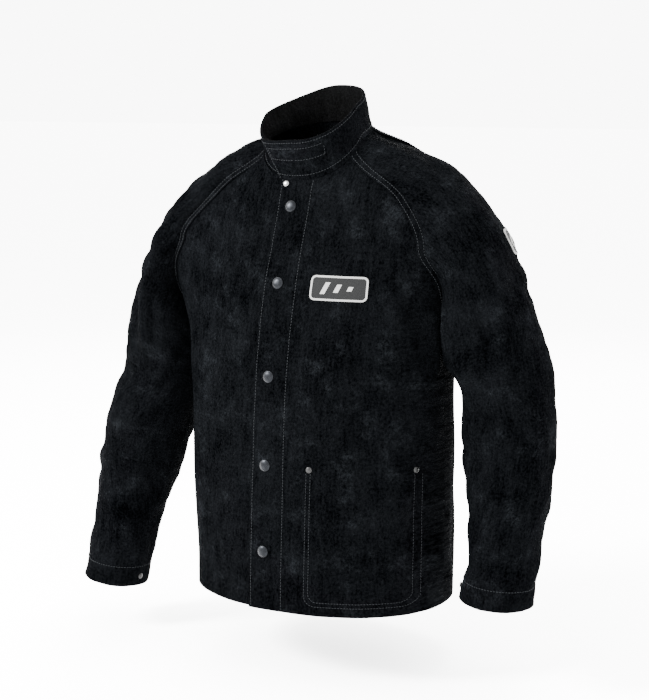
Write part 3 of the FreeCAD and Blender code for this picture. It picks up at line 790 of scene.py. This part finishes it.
for side, word in BODY_SIDE.items():
    points, across, along = sleeve_grid(side, SLEEVE_ROWS)
    normals = grid_normals(points) * side
    sleeve_points[side] = (points, normals)
    if side < 0:
        points, normals, across, along = (a[:, ::-1] for a in (points, normals, across, along))
    sleeve = hide(f"{word}_sleeve_hide", points, normals, SUEDE, across, along, 6 + side)
    place(sleeve, f"{word}_sleeve", "split_leather")
    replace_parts(sleeve, f"{word}_sleeve", f"{word}_elbow", f"{word}_forearm")
    near_cuff = slice(0, CUFF_ROWS)
    lining = hide(
        f"{word}_cuff_lining", points[near_cuff], normals[near_cuff], FLESH, across[near_cuff],
        along[near_cuff], 9 + side, foot=HIDE + 0.1)
    place(lining, f"{word}_forearm", "leather_lining")
    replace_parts(lining, f"{word}_cuff_facing")
    runs = []
    for back_side in (False, True):
        strip, outs = seam_strip(side, back_side)
        name = f"{word}_{'back' if back_side else 'front'}_raglan_lap"
        if (side > 0) != back_side:
            strip, outs = strip[:, ::-1], outs[:, ::-1]
        band = hide(name, strip, outs, SUEDE, strip[..., 0], strip[..., 2], 12 + side, depth=LAP_RISE)
        place(band, "torso", "split_leather")
        for share in LAP_STITCHES:
            column_index = share * (strip.shape[1] - 1)
            low = int(column_index)
            line = strip[:, low] + (strip[:, low + 1] - strip[:, low]) * (column_index - low)
            runs.append((line + outs[:, low] * 0.15, outs[:, low]))
    place(stitches(f"{word}_raglan_stitches", runs, THREAD_GREY), "torso", "split_leather")
    points, normals = sleeve_points[side]
    line, outs = points[CUFF_STITCH_ROW], normals[CUFF_STITCH_ROW]
    cuff_stitches = stitches(f"{word}_cuff_stitches", [(line + outs * 0.1, outs)], THREAD_GREY)
    place(cuff_stitches, f"{word}_forearm", "split_leather")
    repaint(f"{word}_cuff_rivet", DULL_NICKEL)

# Collar: an outer and an inner ply, in one strip from the tab round the back to the end under the tab

COLLAR_ROWS, ROUND_COLUMNS, FLAP_COLUMNS = 16, 200, 24
COLLAR_TILT = 14.0   # the rim sinks this far at the wearer's right


def collar_grid(turns_low, turns_high, lap, out=0.0):
    """turns_low and turns_high give the turns along the neck seam and along the rim."""
    share = np.linspace(-0.04, 1, COLLAR_ROWS)[:, None]
    turns = turns_low[None] + (turns_high - turns_low)[None] * np.clip(share, 0, 1)
    h = np.broadcast_to(NECK + (RIM - NECK) * share, turns.shape)
    lap = np.broadcast_to(lap, turns.shape)
    points = torso_base(h, turns, lap)
    aside = np.clip(-points[..., 0] / TORSO[-1, 3], 0, 1)
    points[..., 2] -= COLLAR_TILT * np.clip(share, 0, 1) * aside**2 * (3 - 2 * aside)
    normals = grid_normals(points)
    roll = 1.2 * np.sin(np.pi * np.clip(share, 0, 1)) + 0.9 * (1 - smooth(0.0, 0.25, share))
    wave = 1.0 * swell(points, 55, 8) * smooth(0, 0.5, share)
    return points + normals * (roll + wave + out)[..., None], normals


def collar_piece(name, turns_low, turns_high, lap, body_name, replaced, lining):
    points, normals = collar_grid(turns_low, turns_high, lap)
    across = np.broadcast_to(turns_low[None] * 1.4, points.shape[:2])
    outer = hide(name, points, normals, SUEDE, across, points[..., 2], 15)
    place(outer, body_name, "split_leather")
    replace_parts(outer, replaced)
    inner = hide(f"{name}_inside", points, normals, FLESH, across, points[..., 2], 16, foot=HIDE + 0.15)
    place(inner, body_name, "leather_lining")
    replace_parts(inner, lining)
    return points, normals


def collar_turn(x, h):
    return float(turn_at(np.array([x], dtype=float), np.array([float(h)]))[0])


# Where the flap leaves the rest of the collar, where the rest ends under it, and the ends of its free edge
SPLIT_X, END_X, FREE_LOW_X, FREE_HIGH_X = 4.0, 14, -26, -60
split_low, split_high = collar_turn(SPLIT_X, NECK), collar_turn(SPLIT_X, RIM)
end_low, end_high = 360 + collar_turn(END_X, NECK), 360 + collar_turn(END_X, RIM)
round_low = np.linspace(split_low, end_low, ROUND_COLUMNS)
round_high = np.linspace(split_high, end_high, ROUND_COLUMNS)
round_lap = LAP * smooth(100, 60, round_low)
under_lap = UNDERLAP_RISE * smooth(320, 350, round_low)
stand_points, stand_normals = collar_piece(
    "collar_round", round_low, round_high, round_lap + under_lap, "torso", "collar_stand",
    "collar_stand_lining")
tab_low = np.linspace(collar_turn(FREE_LOW_X, NECK), split_low, FLAP_COLUMNS)
tab_high = np.linspace(collar_turn(FREE_HIGH_X, RIM), split_high, FLAP_COLUMNS)
tab_points, tab_normals = collar_piece(
    "collar_flap", tab_low, tab_high, np.full(FLAP_COLUMNS, LAP), "collar_tab", "collar_tab",
    "collar_tab_lining")

# Stitching on the fronts

EDGE_IN = 4.0


def front_line(x, z, side=1, out=0.15):
    x, z = np.broadcast_arrays(np.asarray(x, float), np.asarray(z, float))
    points, normals = on_front(x, z, side)
    if side > 0:
        points = points + normals * pocket_bulge(points)[..., None]
    return points + normals * out, normals


def top_z(x):
    """Height of the neck seam on the left front at x."""
    h = np.array([NECK - 2.5])
    return float(torso_base(h, turn_at(np.array([float(x)]), h), LAP)[0, 2])


def up_to(x):
    return np.linspace(HEM + 3, top_z(x), 300)


placket = [front_line(FLAP_X + EDGE_IN, up_to(FLAP_X + EDGE_IN)), front_line(FACING_X, up_to(FACING_X))]
place(stitches("placket_stitches", placket, THREAD_GREY), "left_front", "split_leather")


def pocket_outline(inset):
    """Down one side, round a corner, along the bottom, round the other corner and up."""
    left, right, bottom, top, radius = 66 + inset, 205 - inset, 26 + inset, 219.0, 16.0 - inset / 2
    quarter = np.linspace(0, math.pi / 2, 10)
    inward_x, inward_z = radius - radius * np.cos(quarter), radius - radius * np.sin(quarter)
    along = np.linspace(left + radius, right - radius, 60)
    rising = np.linspace(bottom + radius, top, 60)
    xs = [np.full(60, left), left + inward_x, along, right - inward_x[::-1], np.full(60, right)]
    zs = [rising[::-1], bottom + inward_z, np.full(60, bottom), bottom + inward_z[::-1], rising]
    return front_line(np.concatenate(xs), np.concatenate(zs))


pocket_stitches = stitches("pocket_stitches", [pocket_outline(0.0), pocket_outline(6.5)], THREAD_GREY)
place(pocket_stitches, "left_front", "split_leather")

# Stitching on the collar: along the seam and the rim, and a long box that holds the tape


def along_row(points, normals, row, columns=slice(None)):
    return points[row, columns] + normals[row, columns] * 0.15, normals[row, columns]


def up_column(points, normals, column, rows=slice(None)):
    return points[rows, column] + normals[rows, column] * 0.15, normals[rows, column]


SEAM_ROW, RIM_ROW, BOX_LOW, BOX_HIGH = 2, COLLAR_ROWS - 2, 8, 12
BOX_NEAR, BOX_FAR, EDGE_COLUMN = 4, 20, 2       # on the flap, on the rest of the collar, by the free edge
BOX_ROWS = slice(BOX_LOW, BOX_HIGH + 1)
runs = [along_row(stand_points, stand_normals, row) for row in (SEAM_ROW, RIM_ROW)]
place(stitches("collar_stitches", runs, THREAD_GREY), "torso", "split_leather")
flap_runs = [along_row(tab_points, tab_normals, row) for row in (RIM_ROW, SEAM_ROW)]
flap_runs += [along_row(tab_points, tab_normals, row, slice(BOX_NEAR, None)) for row in (BOX_LOW, BOX_HIGH)]
flap_runs.append(up_column(tab_points, tab_normals, BOX_NEAR, BOX_ROWS))
flap_runs.append(up_column(tab_points, tab_normals, EDGE_COLUMN))
place(stitches("collar_flap_stitches", flap_runs, THREAD_GREY), "collar_tab", "split_leather")
box_runs = [along_row(stand_points, stand_normals, row, slice(0, BOX_FAR)) for row in (BOX_LOW, BOX_HIGH)]
box_runs.append(up_column(stand_points, stand_normals, BOX_FAR - 1, BOX_ROWS))
place(stitches("collar_box_stitches", box_runs, THREAD_GREY), "torso", "split_leather")

# Snaps and rivets


def front_frames(places, side=1, out=0.0):
    points, normals = front_line([p[0] for p in places], [p[1] for p in places], side, out)
    return list(zip(points, normals))


def inward(frames, depth):
    return [(p - n * depth, -n) for p, n in frames]


SNAPS = [(0, z) for z in (592, 484, 352, 224, 98)]
NECK_RIVET, POCKET_RIVETS = [(-14, 624)], [(70, 224), (200, 224)]
TWO_PLY = 2 * HIDE + 0.15

# Turned shapes, as (radius, height) pairs from the outside in
CAP = [
    (8.5, 0.0), (8.7, 0.45), (8.4, 0.95), (7.9, 1.15), (7.55, 1.2), (7.2, 1.55), (6.2, 2.1), (4.8, 2.55),
    (3.2, 2.85), (1.6, 3.0), (0, 3.05),
]
SOCKET = [
    (6.5, 0.0), (6.6, 0.5), (6.2, 0.9), (5.0, 1.0), (4.4, 1.7), (3.7, 1.9), (3.4, 1.6), (3.3, 0.5), (0, 0.4),
]
STUD = [
    (5.8, 0.0), (5.8, 0.5), (4.6, 0.9), (2.9, 1.0), (2.3, 1.3), (2.3, 1.9), (2.6, 2.3), (2.4, 2.8),
    (1.4, 3.0), (0, 3.05),
]
PLATE = [(6.5, 0.0), (6.6, 0.4), (6.1, 0.9), (3.0, 1.0), (0, 1.0)]
RIVET = [(4.6, 0.0), (4.7, 0.35), (4.4, 0.8), (3.4, 1.35), (2.0, 1.7), (0.8, 1.8), (0, 1.8)]
BURR = PLATE[1:]

low_snaps, top_snap = front_frames(SNAPS[1:]), front_frames(SNAPS[:1])
under_snaps = front_frames(SNAPS, -1)
neck_place, pocket_places = front_frames(NECK_RIVET), front_frames(POCKET_RIVETS)
FASTENERS = [
    ("snap_cap_row", low_snaps, CAP, GUNMETAL, "left_front", "snap_caps"),
    ("snap_cap_first", top_snap, CAP, GUNMETAL, "left_front", "top_snap_cap"),
    ("snap_socket_row", inward(low_snaps, TWO_PLY), SOCKET, GUNMETAL, "left_front", "snap_sockets"),
    ("snap_socket_first", inward(top_snap, TWO_PLY), SOCKET, GUNMETAL, "left_front", "top_snap_socket"),
    ("snap_stud_row", under_snaps, STUD, GUNMETAL, "torso", "snap_studs"),
    ("stud_plate_row", inward(under_snaps, TWO_PLY), PLATE, GUNMETAL, "torso", "snap_back_plates"),
    ("rivet_at_neck", neck_place, RIVET, NICKEL, "left_front", "neck_rivet"),
    ("burr_at_neck", inward(neck_place, TWO_PLY), BURR, NICKEL, "left_front", "neck_rivet_burr"),
    ("rivets_at_pocket", pocket_places, RIVET, DULL_NICKEL, "left_front", "pocket_rivets"),
    ("burrs_at_pocket", inward(pocket_places, HIDE), BURR, NICKEL, "left_front", "pocket_rivet_burrs"),
]
for name, frames, profile, material, body_name, node in FASTENERS:
    slot = "snap_metal" if material is GUNMETAL else "rivet_metal"
    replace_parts(place(turned(name, frames, profile, material), body_name, slot), node)

# Badges: a dark woven patch with a pale rolled edge and three slanted strokes


def rounded(width, tall, radius, count=8):
    """Corner points of a rounded rectangle about the origin."""
    places = []
    for cx, cz, begin in ((1, 1, 0), (-1, 1, 90), (-1, -1, 180), (1, -1, 270)):
        for k in range(count):
            angle = math.radians(begin + 90 * k / (count - 1))
            places.append((cx * (width / 2 - radius) + radius * math.cos(angle),
                           cz * (tall / 2 - radius) + radius * math.sin(angle)))
    return places


def filled(name, outlines, surface, rise, thick, material):
    """Flat patches on a curved surface. surface(u, v) gives points and normals for places on the patch."""
    work = bmesh.new()
    for outline in outlines:
        flat = [work.verts.new((u, v, 0)) for u, v in outline]
        work.faces.new(flat)
    bmesh.ops.triangulate(work, faces=work.faces[:])
    for _ in range(3):
        long_edges = [e for e in work.edges if e.calc_length() > 6]
        if long_edges:
            bmesh.ops.subdivide_edges(work, edges=long_edges, cuts=1)
            bmesh.ops.triangulate(work, faces=work.faces[:])
    flat = np.array([v.co[:] for v in work.verts])
    points, normals = surface(flat[:, 0], flat[:, 1])
    for vert, p, n in zip(work.verts, points, normals):
        vert.co = Vector(metres(p + n * rise))
    lower = np.array([metres(p + n * (rise - thick)) for p, n in zip(points, normals)])
    bmesh.ops.extrude_face_region(work, geom=work.faces[:])
    work.verts.ensure_lookup_table()
    for k in range(len(points)):
        work.verts[k].co = Vector(lower[k])
    bmesh.ops.recalc_face_normals(work, faces=work.faces)
    mesh = bpy.data.meshes.new(name)
    work.to_mesh(mesh)
    work.free()
    return new_object(name, mesh, material)


def ring(width, tall, radius, band):
    """Quads of a band round a rounded rectangle."""
    outer = rounded(width, tall, radius)
    inner = rounded(width - 2 * band, tall - 2 * band, max(radius - band, 1))
    count = len(outer)
    return [[outer[k], outer[(k + 1) % count], inner[(k + 1) % count], inner[k]] for k in range(count)]


def strokes(width, tall):
    """Three slanted strokes, each shorter than the last."""
    made = []
    for k, reach in enumerate((0.9, 0.62, 0.34)):
        x, half = -width * 0.24 + k * width * 0.22, tall * 0.27 * reach
        foot, head = x - half * 0.5, x + half * 0.5
        made.append([(foot - 3, -half), (foot + 4, -half), (head + 3.5, half), (head - 3.5, half)])
    return made


def badge(name, width, tall, surface, body_name, replaced):
    ground = filled(f"{name}_ground", [rounded(width, tall, 7)], surface, 0.95, 0.9, BADGE_DARK)
    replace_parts(place(ground, body_name, "badge_cloth"), replaced)
    edge = filled(f"{name}_edge", ring(width + 0.6, tall + 0.6, 7.3, 2.6), surface, 1.5, 1.4, BADGE_PALE)
    place(edge, body_name, "badge_cloth")
    marks = filled(f"{name}_strokes", strokes(width, tall), surface, 1.35, 0.6, BADGE_PALE)
    place(marks, body_name, "badge_cloth")


CHEST_X, CHEST_Z, SLEEVE_Y, SLEEVE_Z = 96, 481, 50, 547


def chest_surface(u, v):
    return front_line(CHEST_X + u, CHEST_Z + v, 1, 0.0)


badge("chest_label", 84, 34, chest_surface, "left_front", "chest_badge")


def sleeve_surface(u, v):
    """Nearest places of the left sleeve's outer side to (y, height)."""
    points, normals = sleeve_points[1]
    outer_side = slice(20, 80)
    outer = points[:, outer_side].reshape(-1, 3)
    outs = normals[:, outer_side].reshape(-1, 3)
    found, found_out = [], []
    for y, z in zip(SLEEVE_Y + u, SLEEVE_Z + v):
        away = (outer[:, 1] - y) ** 2 + (outer[:, 2] - z) ** 2
        near = np.argsort(away)[:4]
        weight = 1 / (away[near] + 0.05)
        weight = weight / weight.sum()
        spot = (outer[near] * weight[:, None]).sum(axis=0)
        spot[1], spot[2] = y, z
        found.append(spot)
        found_out.append((outs[near] * weight[:, None]).sum(axis=0))
    return np.array(found), unit(np.array(found_out))


badge("sleeve_label", 70, 34, sleeve_surface, "torso", "sleeve_badge")

# Hook and loop tape inside the collar tab

for node in ("collar_hook_patch", "collar_loop_patch"):
    repaint(node, TAPE)

# Camera, floor and light


def aim(obj, position, target):
    obj.location = position
    obj.rotation_euler = (Vector(target) - Vector(position)).to_track_quat("-Z", "Y").to_euler()


AZIMUTH, ELEVATION, DISTANCE = math.radians(30), math.radians(9), 2.5
MIDDLE_HEIGHT = 372
target = Vector((0, 0, (MIDDLE_HEIGHT - REST_HEIGHT) / 1000))
level = math.cos(ELEVATION)
towards = Vector((math.sin(AZIMUTH) * level, -math.cos(AZIMUTH) * level, math.sin(ELEVATION)))
camera_data = bpy.data.cameras.new("camera")
camera_data.lens = 85.7
camera_data.sensor_width = 36
camera_data.shift_x = 0.012
camera = bpy.data.objects.new("camera", camera_data)
bpy.context.scene.collection.objects.link(camera)
aim(camera, target + towards * DISTANCE, target)
bpy.context.scene.camera = camera


def lamp(name, position, size, power):
    data = bpy.data.lights.new(name, "AREA")
    data.shape, data.size, data.energy = "DISK", size, power
    light = bpy.data.objects.new(name, data)
    bpy.context.scene.collection.objects.link(light)
    aim(light, position, target)


lamp("key", (-1.9, -1.9, 1.3), 0.9, 760)
lamp("fill", (2.4, -1.8, 0.6), 1.8, 60)
lamp("top", (0.2, 0.4, 2.4), 1.0, 170)
lamp("back", (-1.2, 2.4, 1.0), 1.4, 150)

FLOOR_Z = -0.78
bpy.ops.mesh.primitive_plane_add(size=60, location=(0, 0, FLOOR_Z))
floor = bpy.context.active_object
floor.name = "floor"
pale = Nodes("pale_floor")
pale.surface(
    Base_Color=(0.93, 0.93, 0.93, 1), Roughness=0.9, Emission_Color=(1, 1, 1, 1), Emission_Strength=1.4)
floor.data.materials.append(pale.material)

world = bpy.data.worlds.new("studio")
world.use_nodes = True
background = world.node_tree.nodes["Background"].inputs
background["Color"].default_value = (1, 1, 1, 1)
background["Strength"].default_value = 9.0
bpy.context.scene.world = world
